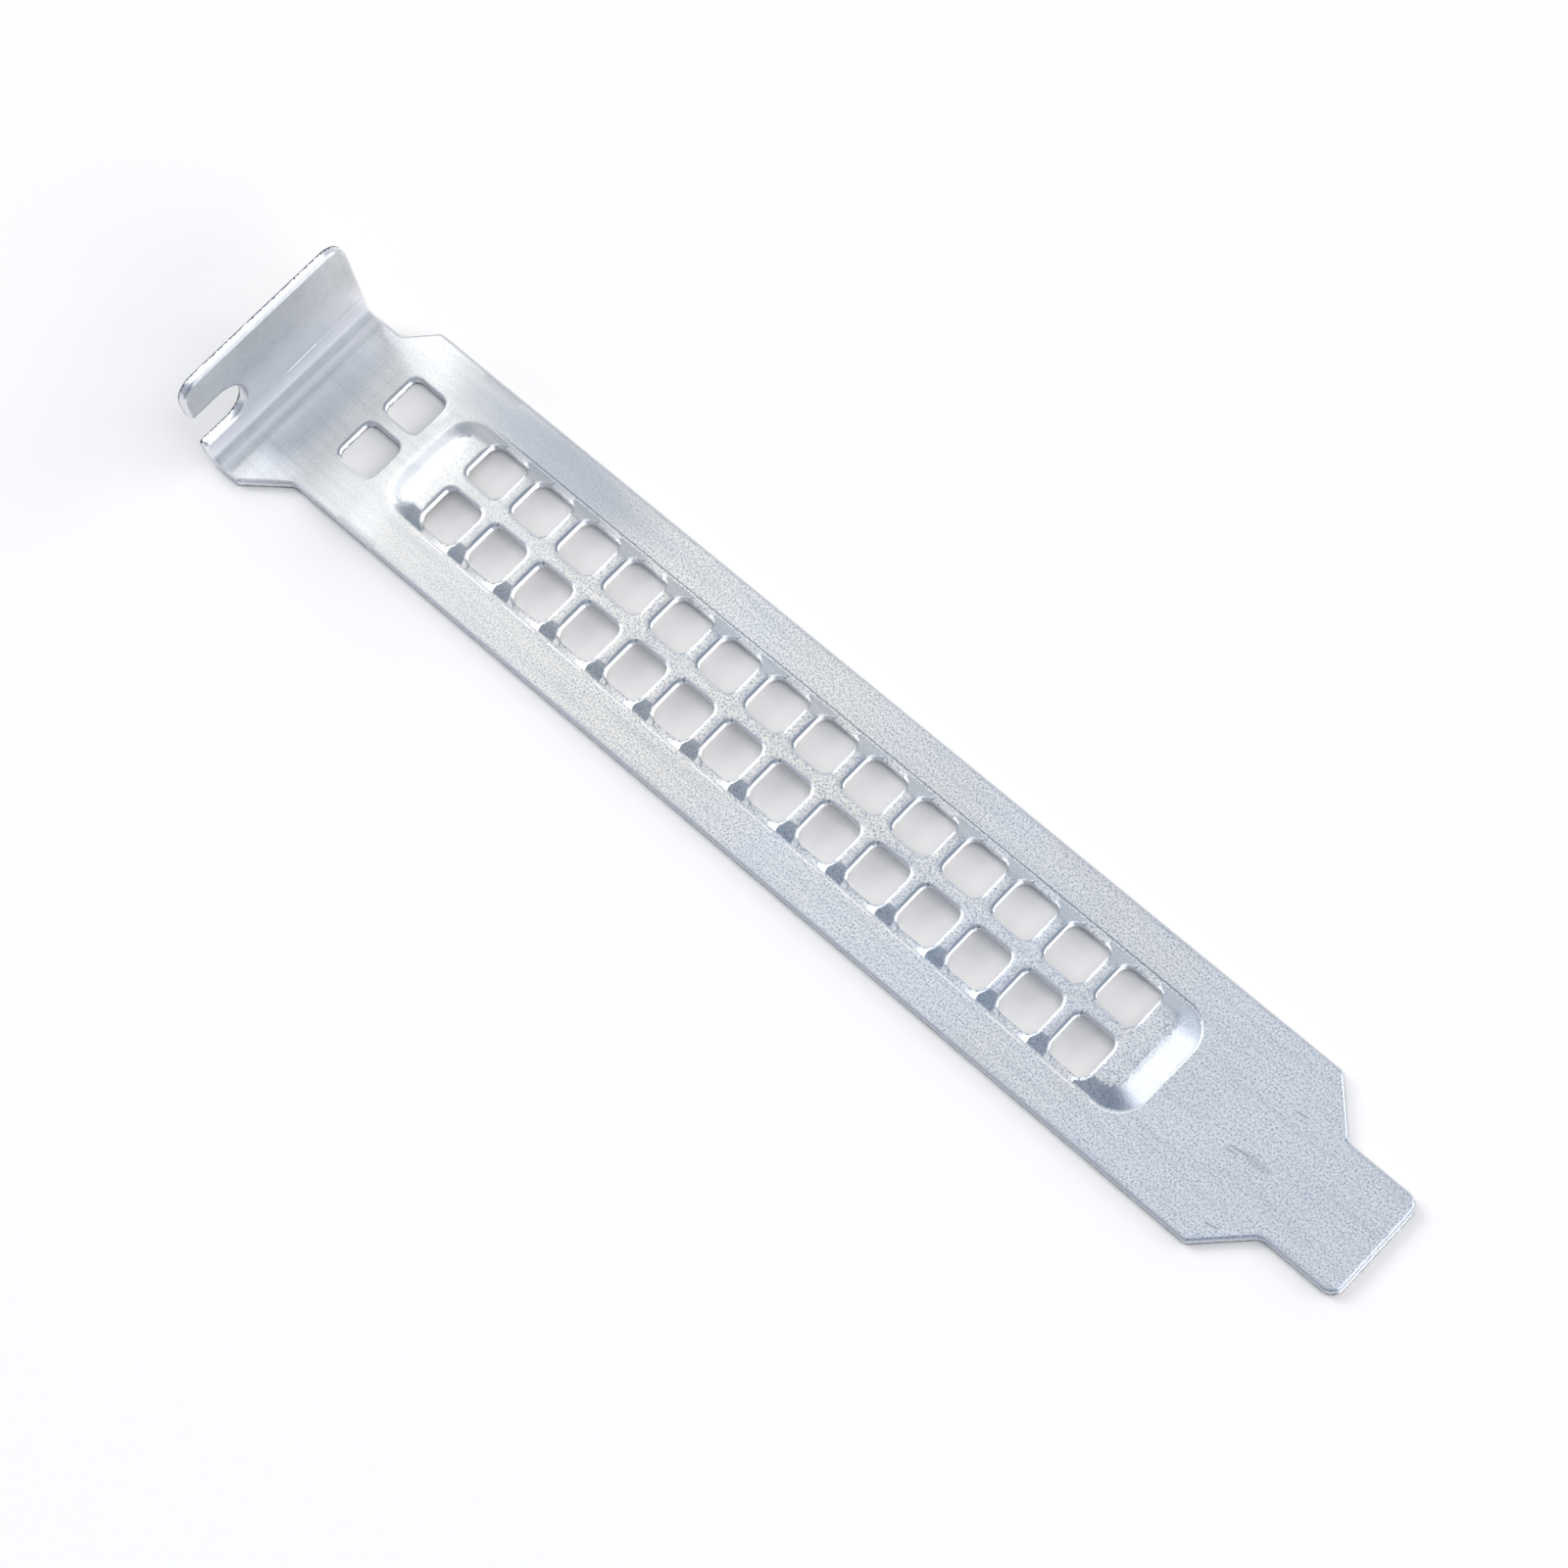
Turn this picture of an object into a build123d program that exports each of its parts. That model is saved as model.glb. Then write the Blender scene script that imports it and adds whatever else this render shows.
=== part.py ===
from build123d import *
import math
import os

# Slot cover: one piece of zinc-coated steel sheet, punched, pressed and folded.
# Lengths are in millimetres. While it is modelled, x runs from the tab's outer face to the
# tongue's tip, y runs across from the strip's centre line, and z is the height above the back
# face. The finished part then moves so that its origin is under the middle of its box.

# Sheet
sheet_thickness = 0.86
edge_roll = 0.2             # bevel that the punch leaves round the front face

# Strip and tongue
overall_length = 120.02     # tab's outer face to the tongue's tip
strip_width = 18.42
strip_corner_radius = 0.6   # outer corners, where a shoulder leaves a straight edge
strip_root_radius = 1.2     # inner corners, where a shoulder runs into a straight edge
tongue_width = 10.19
tongue_length = 7.27        # straight stretch past its shoulders
tongue_corner_radius = 1.2

# Folded tab
tab_height = 12.29          # back face to the tab's top edge
tab_width = 19.05
tab_overhang = 3.08         # the tab stands out past the strip on the notch side
tab_corner_radius = 2.0
fold_inner_radius = 0.8
overhang_shoulder_start = 3.8
overhang_shoulder_run = 4.0
inset_shoulder_start = 4.75

# Screw notch, open to the tab's overhanging side
notch_width = 4.6
notch_depth = 5.38          # tab's side to the bottom of the notch
notch_height = 5.78         # back face to the notch's middle
notch_lip_radius = 0.4

# Vent windows
window_size = 4.2
window_corner_radius = 0.88
web_width = 1.3             # metal between neighbouring windows
lone_window_land = 1.43     # metal between the lone pair and the panel

# Raised vent panel
panel_start = 14.0          # tab's outer face to the panel's foot
panel_setback = 9.74        # panel's foot to the tongue's shoulders
panel_raise = 0.8
panel_end_run = 2.3         # length of the slope at each end
panel_side_run = 1.3        # width of the slope along each side
panel_end_land = 2.2        # least flat metal between the last windows and the end slope
panel_foot_radius = 2.9
panel_top_radius = 1.7
panel_crown_radius = 3.4    # rounding where the slopes meet the top, on the front
ledge_width = 0.5           # metal between a window and the panel's foot
ledge_rise = 0.08           # how far a ledge rises from the foot to the window
ledge_ramp_run = 0.9        # length of the ramp from a ledge up to the web beside it

# Margin by which a cutting shape passes the faces that it opens
cut_margin = 1.0

# Sizes that follow
strip_high = strip_width / 2
strip_low = -strip_high
tab_low = strip_low - tab_overhang
tab_high = tab_low + tab_width
fold_outer_radius = fold_inner_radius + sheet_thickness
tongue_shoulder_run = (strip_width - tongue_width) / 2
tongue_start = overall_length - tongue_length
tongue_shoulder_start = tongue_start - tongue_shoulder_run
inset_shoulder_run = abs(strip_high - tab_high)
prong_height = tab_height - notch_height - notch_width / 2

window_pitch = window_size + web_width
row_y = window_pitch / 2
window_outer_y = row_y + window_size / 2
panel_width = 2 * (window_outer_y + ledge_width)
panel_length = tongue_shoulder_start - panel_setback - panel_start
panel_x = panel_start + panel_length / 2
window_room = panel_length - 2 * (panel_end_run + panel_end_land) - window_size
windows_per_row = int(window_room / window_pitch) + 1
lone_window_x = panel_start - lone_window_land - window_size / 2


def shoulder_radius(radius, run, rise):
    """A corner's rounding at a shoulder, no larger than the shoulder is long."""
    return min(radius, math.hypot(run, rise))


def strip_blank():
    """The flat strip with its four shoulders and the tongue, up to the fold."""
    half_tongue = tongue_width / 2
    overhang_shoulder = (overhang_shoulder_run, tab_overhang)
    inset_shoulder = (inset_shoulder_run, inset_shoulder_run)
    tongue_shoulder = (tongue_shoulder_run, tongue_shoulder_run)
    overhang_outer = shoulder_radius(strip_corner_radius, *overhang_shoulder)
    overhang_root = shoulder_radius(strip_root_radius, *overhang_shoulder)
    inset_outer = shoulder_radius(strip_corner_radius, *inset_shoulder)
    inset_root = shoulder_radius(strip_root_radius, *inset_shoulder)
    tongue_outer = shoulder_radius(strip_corner_radius, *tongue_shoulder)
    tongue_root = shoulder_radius(strip_root_radius, *tongue_shoulder)
    corners = [
        ((fold_outer_radius, tab_low), 0),
        ((overhang_shoulder_start, tab_low), overhang_outer),
        ((overhang_shoulder_start + overhang_shoulder_run, strip_low), overhang_root),
        ((tongue_shoulder_start, strip_low), tongue_outer),
        ((tongue_start, -half_tongue), tongue_root),
        ((overall_length, -half_tongue), tongue_corner_radius),
        ((overall_length, half_tongue), tongue_corner_radius),
        ((tongue_start, half_tongue), tongue_root),
        ((tongue_shoulder_start, strip_high), tongue_outer),
        ((inset_shoulder_start + inset_shoulder_run, strip_high), inset_outer),
        ((inset_shoulder_start, tab_high), inset_root),
        ((fold_outer_radius, tab_high), 0),
    ]
    points = [point for point, radius in corners]
    radii = [radius for point, radius in corners]
    outline = make_face(FilletPolyline(*points, radius=radii, close=True))
    return extrude(outline, sheet_thickness)


def fold():
    """The quarter bend between the strip and the tab."""
    ring = Circle(fold_outer_radius) - Circle(fold_inner_radius)
    quarter = ring & Pos(-fold_outer_radius / 2, -fold_outer_radius / 2) * Rectangle(
        fold_outer_radius, fold_outer_radius
    )
    across = Plane(
        origin=(fold_outer_radius, tab_high, fold_outer_radius), x_dir=(1, 0, 0), z_dir=(0, -1, 0)
    )
    return extrude(across * quarter, tab_width)


def tab():
    """The upright tab with its rounded top corners and the screw notch."""
    top_radius = min(tab_corner_radius, prong_height / 2)
    lip_radius = min(notch_lip_radius, prong_height / 4)
    outline = make_face(
        FilletPolyline(
            (tab_low, fold_outer_radius),
            (tab_high, fold_outer_radius),
            (tab_high, tab_height),
            (tab_low, tab_height),
            radius=[0, 0, top_radius, top_radius],
            close=True,
        )
    )
    end_y = tab_low + notch_depth - notch_width / 2
    mouth_y = tab_low - cut_margin
    throat = Pos((mouth_y + end_y) / 2, notch_height) * Rectangle(end_y - mouth_y, notch_width)
    notch = throat + Pos(end_y, notch_height) * Circle(notch_width / 2)
    outline = outline - notch
    lips = outline.vertices().sort_by_distance((tab_low, notch_height))[:2]
    outline = fillet(lips, lip_radius)
    return extrude(Plane.YZ * outline, sheet_thickness)


def bevel_front_rim(blank):
    """Bevel the blank's rim on the front face, across the tab, the fold and the strip."""
    flat = blank.faces().filter_by(Plane.XY).filter_by_position(
        Axis.Z, sheet_thickness, sheet_thickness
    )
    upright = blank.faces().filter_by(Plane.YZ).filter_by_position(
        Axis.X, sheet_thickness, sheet_thickness
    )
    bend = blank.faces().filter_by(GeomType.CYLINDER).sort_by_distance(
        (sheet_thickness, 0, sheet_thickness)
    )[:1]
    edges = [edge for face in (*flat, *upright, *bend) for edge in face.edges()]
    rim = [edge for edge in edges if edges.count(edge) == 1]
    return chamfer(rim, edge_roll)


def pillow(foot_z, side_inset, end_inset):
    """A low block with sloped walls and rounded ends, for the panel's top side and its hollow.

    Its section stays the same from the first windows to the last.
    """
    length = panel_length - 2 * end_inset
    width = panel_width - 2 * side_inset
    top_length = length - 2 * panel_end_run
    top_width = width - 2 * panel_side_run
    middle_length = (windows_per_row - 1) * window_pitch

    foot = RectangleRounded(length, width, panel_foot_radius)
    top = Pos(0, 0, panel_raise) * RectangleRounded(top_length, top_width, panel_top_radius)
    ends = loft([foot, top], ruled=True) - Box(middle_length, width, 2 * panel_raise)
    section = make_face(
        Polyline(
            (-width / 2, 0),
            (width / 2, 0),
            (top_width / 2, panel_raise),
            (-top_width / 2, panel_raise),
            close=True,
        )
    )
    middle = extrude(Plane.YZ * section, middle_length / 2, both=True)
    return Pos(panel_x, 0, foot_z) * (ends + middle)


def wall_inset(run):
    """How far the underside's foot lies inside the top side's, for one sheet thickness."""
    return sheet_thickness * math.tan(math.atan2(panel_raise, run) / 2)


def panel_window_places():
    """Centres of the panel's windows, two rows centred on the panel."""
    places = GridLocations(window_pitch, 2 * row_y, windows_per_row, 2)
    return [Pos(panel_x, 0) * place for place in places]


def ledge_blocks():
    """Stretches beside the windows where the sheet stays low between window and foot.

    Each rises a little towards its window, and ramps up at both ends to the webs beside it.
    """
    half_top = window_size / 2
    half_flat = half_top - ledge_ramp_run
    high = panel_raise + cut_margin
    profile = make_face(
        Polyline(
            (half_flat, 0),
            (half_top, panel_raise),
            (half_top, high),
            (-half_top, high),
            (-half_top, panel_raise),
            (-half_flat, 0),
            close=True,
        )
    )
    reach = panel_width / 2 - row_y
    block = extrude(Plane.XZ * profile, reach, both=True)
    tilt = math.degrees(math.atan2(ledge_rise, ledge_width))
    blocks = []
    for place in panel_window_places():
        side = math.copysign(1, place.position.Y)
        foot = Pos(place.position.X, side * panel_width / 2, sheet_thickness)
        blocks.append(foot * Rot(-side * tilt, 0, 0) * block)
    return blocks


def window_cutter(top_z):
    """A punch with the window's plan, which also bevels the rim on the front face."""
    punch = Pos(0, 0, -cut_margin) * extrude(
        RectangleRounded(window_size, window_size, window_corner_radius), top_z + cut_margin
    )
    rim_size = window_size + 2 * edge_roll
    rim = extrude(
        RectangleRounded(rim_size, rim_size, window_corner_radius + edge_roll),
        edge_roll + cut_margin,
    )
    rim = chamfer(rim.faces().sort_by(Axis.Z)[0].edges(), edge_roll)
    return punch + Pos(0, 0, top_z - edge_roll) * rim


def slot_cover():
    """The whole sheet: blank, fold, raised panel, windows."""
    sheet = bevel_front_rim(strip_blank() + fold() + tab())

    raised = pillow(sheet_thickness, 0, 0)
    raised = fillet(raised.faces().sort_by(Axis.Z)[-1].edges(), panel_crown_radius)
    raised = raised - ledge_blocks()
    hollow = pillow(0, wall_inset(panel_side_run), wall_inset(panel_end_run))
    sheet = sheet + raised - hollow

    panel_cutter = window_cutter(sheet_thickness + panel_raise)
    lone_cutter = window_cutter(sheet_thickness)
    sheet = sheet - [place * panel_cutter for place in panel_window_places()]
    sheet = sheet - [Pos(lone_window_x, side * row_y) * lone_cutter for side in (-1, 1)]
    return Pos(-overall_length / 2, -(tab_low + strip_high) / 2, 0) * sheet


os.makedirs("parts", exist_ok=True)
export_step(slot_cover(), "parts/slot_cover.step")
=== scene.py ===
"""A slot cover of zinc-coated steel sheet on a pale table, dressed and lit.

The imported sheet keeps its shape. This script gives it its finish, and sets the table, the studio
light and the camera round it. Lengths are in metres in the part's own frame, and in millimetres
where a name ends in _mm.
"""
import logging
import math
from dataclasses import dataclass, field
from enum import Enum

import bmesh
import bpy
from mathutils import Matrix, Vector


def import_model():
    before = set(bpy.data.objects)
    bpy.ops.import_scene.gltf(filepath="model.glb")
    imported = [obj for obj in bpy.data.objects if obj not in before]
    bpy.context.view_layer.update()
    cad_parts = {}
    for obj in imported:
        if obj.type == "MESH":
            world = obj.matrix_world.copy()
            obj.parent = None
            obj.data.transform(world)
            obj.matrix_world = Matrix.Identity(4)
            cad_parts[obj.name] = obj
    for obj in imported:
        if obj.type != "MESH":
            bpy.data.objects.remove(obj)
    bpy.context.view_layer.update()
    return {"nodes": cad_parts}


LOG = logging.getLogger("slot_cover")
MM = 0.001
ANY_HEIGHT_MM = 1000.0

Socket = bpy.types.NodeSocket
Tree = bpy.types.NodeTree
Point = tuple[float, float, float]
Pair = tuple[float, float]


def linear(hex_colour: str) -> tuple[float, float, float, float]:
    """Turn an sRGB hex colour into the linear colour that a shader takes.

    Args:
        hex_colour: The colour as a # and six hex digits.

    Returns:
        Linear red, green and blue, and an alpha of 1.
    """
    digits = hex_colour.lstrip("#")
    parts = [int(digits[i:i + 2], 16) / 255 for i in (0, 2, 4)]
    red, green, blue = (
        c / 12.92 if c <= 0.04045 else ((c + 0.055) / 1.055) ** 2.4 for c in parts
    )
    return red, green, blue, 1.0


def add_node(tree: Tree, kind: str, inputs: dict | None = None,
             **settings: object) -> bpy.types.Node:
    """Add one node, set its properties, and fill or link its inputs.

    Args:
        tree: The node tree that takes the node.
        kind: Blender's name for the node type.
        inputs: Input name or number to a value, or to the output socket that feeds it.
        settings: Properties of the node.

    Returns:
        The new node.
    """
    node = tree.nodes.new(kind)
    for name, value in settings.items():
        setattr(node, name, value)
    for key, value in (inputs or {}).items():
        if isinstance(value, Socket):
            tree.links.new(value, node.inputs[key])
        else:
            node.inputs[key].default_value = value
    return node


def weighted_sum(tree: Tree, terms: list[tuple[Socket | float, float]]) -> Socket | float:
    """Add sockets or values, each times its weight.

    Args:
        tree: The material's node tree.
        terms: Sockets or values, each with its weight.

    Returns:
        The socket of the sum, or 0 where there are no terms.
    """
    total: Socket | float = 0.0
    for socket, weight in terms:
        inputs = {0: socket, 1: weight, 2: total}
        total = add_node(tree, "ShaderNodeMath", inputs, operation="MULTIPLY_ADD").outputs[0]
    return total


def overlap(tree: Tree, *masks: Socket) -> Socket:
    """Keep what lies in all of several masks.

    Args:
        tree: The material's node tree.
        masks: The masks, from 0 to 1.

    Returns:
        The product of the masks.
    """
    shared = masks[0]
    for mask in masks[1:]:
        shared = add_node(
            tree, "ShaderNodeMath", {0: shared, 1: mask}, operation="MULTIPLY"
        ).outputs[0]
    return shared


@dataclass(frozen=True)
class PanelLayout:
    """Where the raised panel and its windows lie, in millimetres in the part's frame.

    A window's share is where its middle lies between the middles of the webs beside it.
    """

    centre_mm: Pair = (-3.56, 1.54)
    half_mm: Pair = (42.45, 5.6)
    corner_mm: float = 2.9
    top_from_mm: float = 1.5
    pitch_mm: float = 5.5
    window_share: float = 0.5


PANEL = PanelLayout()


@dataclass(frozen=True)
class Spot:
    """A place on the sheet as its material sees it: where it is, and how the face there lies.

    The share runs from 0 at the middle of one web to 1 at the middle of the next, and the reach
    is how far the place lies from the panel's middle line.
    """

    tree: Tree
    place_mm: Socket
    x: Socket
    y: Socket
    z: Socket
    share: Socket
    reach: Socket
    face: Socket
    face_x: Socket
    face_y: Socket
    face_z: Socket

    @classmethod
    def on_sheet(cls, tree: Tree) -> "Spot":
        """Add the nodes that tell one place on the sheet from another.

        Args:
            tree: The material's node tree.

        Returns:
            The place, with its sockets.
        """
        metres = add_node(tree, "ShaderNodeTexCoord").outputs["Object"]
        place_mm = add_node(
            tree, "ShaderNodeVectorMath", {0: metres, 3: 1 / MM}, operation="SCALE"
        ).outputs[0]
        face = add_node(tree, "ShaderNodeNewGeometry").outputs["True Normal"]
        along = add_node(tree, "ShaderNodeSeparateXYZ", {0: place_mm}).outputs
        faces = add_node(tree, "ShaderNodeSeparateXYZ", {0: face}).outputs
        pitches = add_node(tree, "ShaderNodeMath", {
            0: along["X"], 1: 1 / PANEL.pitch_mm, 2: -PANEL.centre_mm[0] / PANEL.pitch_mm,
        }, operation="MULTIPLY_ADD").outputs[0]
        share = add_node(tree, "ShaderNodeMath", {0: pitches}, operation="FRACT").outputs[0]
        off_line = add_node(
            tree, "ShaderNodeMath", {0: along["Y"], 1: PANEL.centre_mm[1]}, operation="SUBTRACT"
        ).outputs[0]
        reach = add_node(tree, "ShaderNodeMath", {0: off_line}, operation="ABSOLUTE").outputs[0]
        return cls(
            tree=tree, place_mm=place_mm, x=along["X"], y=along["Y"], z=along["Z"],
            share=share, reach=reach,
            face=face, face_x=faces["X"], face_y=faces["Y"], face_z=faces["Z"],
        )


class MarkKind(Enum):
    """What left a mark on the sheet: its depth in millimetres, how far it brightens or dulls it."""

    SCRATCH = (0.012, 0.5, 0.0)
    GROOVE = (0.05, 1.0, 0.0)
    DRAG = (0.004, 0.0, 0.7)


@dataclass(frozen=True)
class Mark:
    """One straight mark on the sheet, from start to end, in millimetres in the part's frame."""

    kind: MarkKind
    start_mm: Point
    end_mm: Point
    width_mm: float

    def mask(self, spot: Spot) -> Socket:
        """Tell how near a place is to the mark's line.

        Args:
            spot: The place on the sheet.

        Returns:
            1 on the line, falling to 0 at the mark's sides.
        """
        tree = spot.tree
        start = Vector(self.start_mm)
        along = Vector(self.end_mm) - start
        from_start = add_node(
            tree, "ShaderNodeVectorMath", {0: spot.place_mm, 1: start}, operation="SUBTRACT"
        ).outputs[0]
        share = add_node(tree, "ShaderNodeVectorMath", {
            0: from_start, 1: along / along.length_squared,
        }, operation="DOT_PRODUCT").outputs["Value"]
        held = add_node(tree, "ShaderNodeClamp", {"Value": share}).outputs[0]
        nearest = add_node(
            tree, "ShaderNodeVectorMath", {0: along, 3: held}, operation="SCALE"
        ).outputs[0]
        distance = add_node(
            tree, "ShaderNodeVectorMath", {0: from_start, 1: nearest}, operation="DISTANCE"
        ).outputs["Value"]
        return add_node(tree, "ShaderNodeMapRange", {
            "Value": distance, "From Min": 0.0, "From Max": self.width_mm / 2,
            "To Min": 1.0, "To Max": 0.0,
        }, interpolation_type="SMOOTHSTEP").outputs[0]


@dataclass(frozen=True)
class ShadeAndSmearPatch:
    """A soft-edged patch where the coat is painted darker, from 0 for no change to 1 for the darkest.
    It serves for painted shade, and for a real smear.
    """

    centre_mm: Point
    half_mm: Point
    share: float
    core: float = 0.3

    def mask(self, spot: Spot) -> Socket:
        """Tell how much darker the patch makes a place.

        Args:
            spot: The place on the sheet.

        Returns:
            The patch's share in its core, falling to 0 at its rim.
        """
        tree = spot.tree
        offset = add_node(
            tree, "ShaderNodeVectorMath", {0: spot.place_mm, 1: self.centre_mm}, operation="SUBTRACT"
        ).outputs[0]
        scaled = add_node(
            tree, "ShaderNodeVectorMath", {0: offset, 1: self.half_mm}, operation="DIVIDE"
        ).outputs[0]
        out = add_node(
            tree, "ShaderNodeVectorMath", {0: scaled}, operation="LENGTH"
        ).outputs["Value"]
        return add_node(tree, "ShaderNodeMapRange", {
            "Value": out, "From Min": self.core, "From Max": 1.0,
            "To Min": self.share, "To Max": 0.0,
        }, interpolation_type="SMOOTHSTEP").outputs[0]


@dataclass(frozen=True)
class PressStep:
    """The fine step that the press leaves on the front, round the raised panel.

    On +Y the sheet inside it lies a little lower. On -Y it is a painted highlight, a bright line
    beside each window. It is faint at the panel's tab end.
    """

    width_mm: float = 0.2
    drop_mm: float = 0.055
    # Width and shares of the painted highlight line on -Y
    highlight_mm: float = 0.11
    highlight_share: float = 0.8
    highlight_middle: float = 0.46
    highlight_half: float = 0.36
    front_mm: float = 0.7
    faint_mm: Pair = (-45.0, -38.0)
    faint_share: float = 0.12

    def press(self, spot: Spot) -> tuple[Socket, Socket]:
        """Press the step into the sheet.

        Args:
            spot: The place on the sheet.

        Returns:
            The step's height as a share of its drop, and the share of the painted highlight line.
        """
        tree = spot.tree
        straight = [half - PANEL.corner_mm for half in PANEL.half_mm]
        offset = add_node(tree, "ShaderNodeVectorMath", {
            0: spot.place_mm, 1: (*PANEL.centre_mm, 0.0),
        }, operation="SUBTRACT").outputs[0]
        folded = add_node(
            tree, "ShaderNodeVectorMath", {0: offset}, operation="ABSOLUTE"
        ).outputs[0]
        past = add_node(tree, "ShaderNodeVectorMath", {
            0: folded, 1: (*straight, ANY_HEIGHT_MM),
        }, operation="SUBTRACT").outputs[0]
        outside = add_node(
            tree, "ShaderNodeVectorMath", {0: past, 1: (0, 0, 0)}, operation="MAXIMUM"
        ).outputs[0]
        reach = add_node(
            tree, "ShaderNodeVectorMath", {0: outside}, operation="LENGTH"
        ).outputs["Value"]
        rise = add_node(tree, "ShaderNodeMapRange", {
            "Value": reach, "From Min": PANEL.corner_mm - self.width_mm / 2,
            "From Max": PANEL.corner_mm + self.width_mm / 2,
        }, interpolation_type="SMOOTHSTEP").outputs[0]
        line = add_node(
            tree, "ShaderNodeMath", {0: reach, 1: PANEL.corner_mm, 2: self.highlight_mm / 2},
            operation="COMPARE",
        ).outputs[0]
        beside_window = add_node(
            tree, "ShaderNodeMath", {0: spot.share, 1: self.highlight_middle, 2: self.highlight_half},
            operation="COMPARE",
        ).outputs[0]
        front = add_node(
            tree, "ShaderNodeMath", {0: spot.z, 1: self.front_mm}, operation="GREATER_THAN"
        ).outputs[0]
        clear = add_node(tree, "ShaderNodeMapRange", {
            "Value": spot.x, "From Min": self.faint_mm[0], "From Max": self.faint_mm[1],
            "To Min": self.faint_share, "To Max": 1.0,
        }).outputs[0]
        far_side = add_node(
            tree, "ShaderNodeMath", {0: spot.y, 1: PANEL.centre_mm[1]}, operation="GREATER_THAN"
        ).outputs[0]
        near_side = add_node(
            tree, "ShaderNodeMath", {0: 1.0, 1: far_side}, operation="SUBTRACT"
        ).outputs[0]
        height = overlap(tree, rise, front, clear, far_side)
        # Painted highlight: a bright line on -Y beside each window
        bright = overlap(tree, line, beside_window, front, clear, near_side)
        return height, bright


@dataclass(frozen=True)
class FoldMarks:
    """What the folding tool leaves: a rubbed fold, fine lines along it, and a sprung sheet. Painted
    light lies over it: painted shade on the fold's middle, and a painted highlight on the fold's sides
    and the tab's foot.

    The strip springs back by a small slope between the fold and a slanted line across it.
    """

    axis_mm: Point = (-58.35, 0.0, 1.66)
    radius_mm: float = 0.8
    rough_mm: float = 0.9
    arc_mm: float = 0.5
    streak_mm: float = 5.5
    line_mm: float = 0.22
    line_stretch: Point = (1.0, 0.02, 1.0)
    line_depth_mm: float = 0.02
    extra_roughness: float = 0.40
    streak_levels: Pair = (0.46, 0.66)
    streak_share: float = 0.32
    # Shares of painted highlight on the tab's foot and the fold's sides, taken back on the fold's
    # middle, and of painted shade there
    tab_foot_highlight_share: float = 1.0
    arc_highlight_share: float = 0.5
    bend_highlight_share: float = -2.4
    bend_shade_share: float = 0.6
    spring_slope: float = 0.05
    spring_end_mm: float = -45.5
    spring_slant: float = 0.35
    spring_blend_mm: float = 3.0

    def rub_and_paint_light(self, spot: Spot) -> tuple[Socket, Socket, Socket, Socket]:
        """Rub the zone round the fold, draw the lines and streaks that run along it, and paint its
        light and shade.

        Args:
            spot: The place on the sheet.

        Returns:
            How rough the zone is, the lines' height as a share of their depth, how far the streaks and
            the painted shade on the fold's middle darken the zinc, and how far the painted highlight
            on the fold's sides and the tab's foot brightens it.
        """
        tree = spot.tree
        from_axis = add_node(
            tree, "ShaderNodeVectorMath", {0: spot.place_mm, 1: self.axis_mm}, operation="SUBTRACT"
        ).outputs[0]
        across = add_node(
            tree, "ShaderNodeVectorMath", {0: from_axis, 1: (1, 0, 1)}, operation="MULTIPLY"
        ).outputs[0]
        reach = add_node(
            tree, "ShaderNodeVectorMath", {0: across}, operation="LENGTH"
        ).outputs["Value"]
        rough, arc, wide = (
            add_node(tree, "ShaderNodeMapRange", {
                "Value": reach, "From Min": self.radius_mm, "From Max": self.radius_mm + fade_mm,
                "To Min": 1.0, "To Max": 0.0,
            }, interpolation_type=fall).outputs[0]
            for fade_mm, fall in (
                (self.rough_mm, "SMOOTHSTEP"), (self.arc_mm, "SMOOTHSTEP"), (self.streak_mm, "LINEAR"),
            )
        )
        stretched = add_node(
            tree, "ShaderNodeVectorMath", {0: spot.place_mm, 1: self.line_stretch},
            operation="MULTIPLY",
        ).outputs[0]
        noise = add_node(tree, "ShaderNodeTexNoise", {
            "Vector": stretched, "Scale": 1 / self.line_mm, "Detail": 2.0,
        }).outputs["Fac"]
        streak = add_node(tree, "ShaderNodeMapRange", {
            "Value": noise, "From Min": self.streak_levels[0], "From Max": self.streak_levels[1],
            "To Min": 0.0, "To Max": self.streak_share,
        }).outputs[0]
        # Painted highlight on the tab's foot and the fold's sides, and painted shade on the fold's
        # middle; the streaks are real tool lines
        on_tab = overlap(tree, wide, spot.face_x)
        bend = overlap(tree, spot.face_x, spot.face_z, arc)
        darkened = weighted_sum(tree, [
            (overlap(tree, streak, wide), 1.0), (bend, self.bend_shade_share),
        ])
        painted_fold_highlight = weighted_sum(tree, [
            (on_tab, self.tab_foot_highlight_share), (arc, self.arc_highlight_share), (bend, self.bend_highlight_share),
        ])
        return rough, overlap(tree, noise, rough), darkened, painted_fold_highlight

    def spring(self, spot: Spot) -> Socket:
        """Tell how far the strip springs back towards the fold.

        Args:
            spot: The place on the sheet.

        Returns:
            The height in millimetres.
        """
        slope = Vector((1.0, self.spring_slant, 0.0)) * self.spring_slope
        rise = add_node(
            spot.tree, "ShaderNodeVectorMath", {0: spot.place_mm, 1: slope}, operation="DOT_PRODUCT"
        ).outputs["Value"]
        from_end = add_node(spot.tree, "ShaderNodeMath", {
            0: rise, 1: self.spring_end_mm * self.spring_slope,
        }, operation="SUBTRACT").outputs[0]
        return add_node(spot.tree, "ShaderNodeMath", {
            0: from_end, 1: 0.0, 2: self.spring_blend_mm * self.spring_slope,
        }, operation="SMOOTH_MIN").outputs[0]


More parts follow.
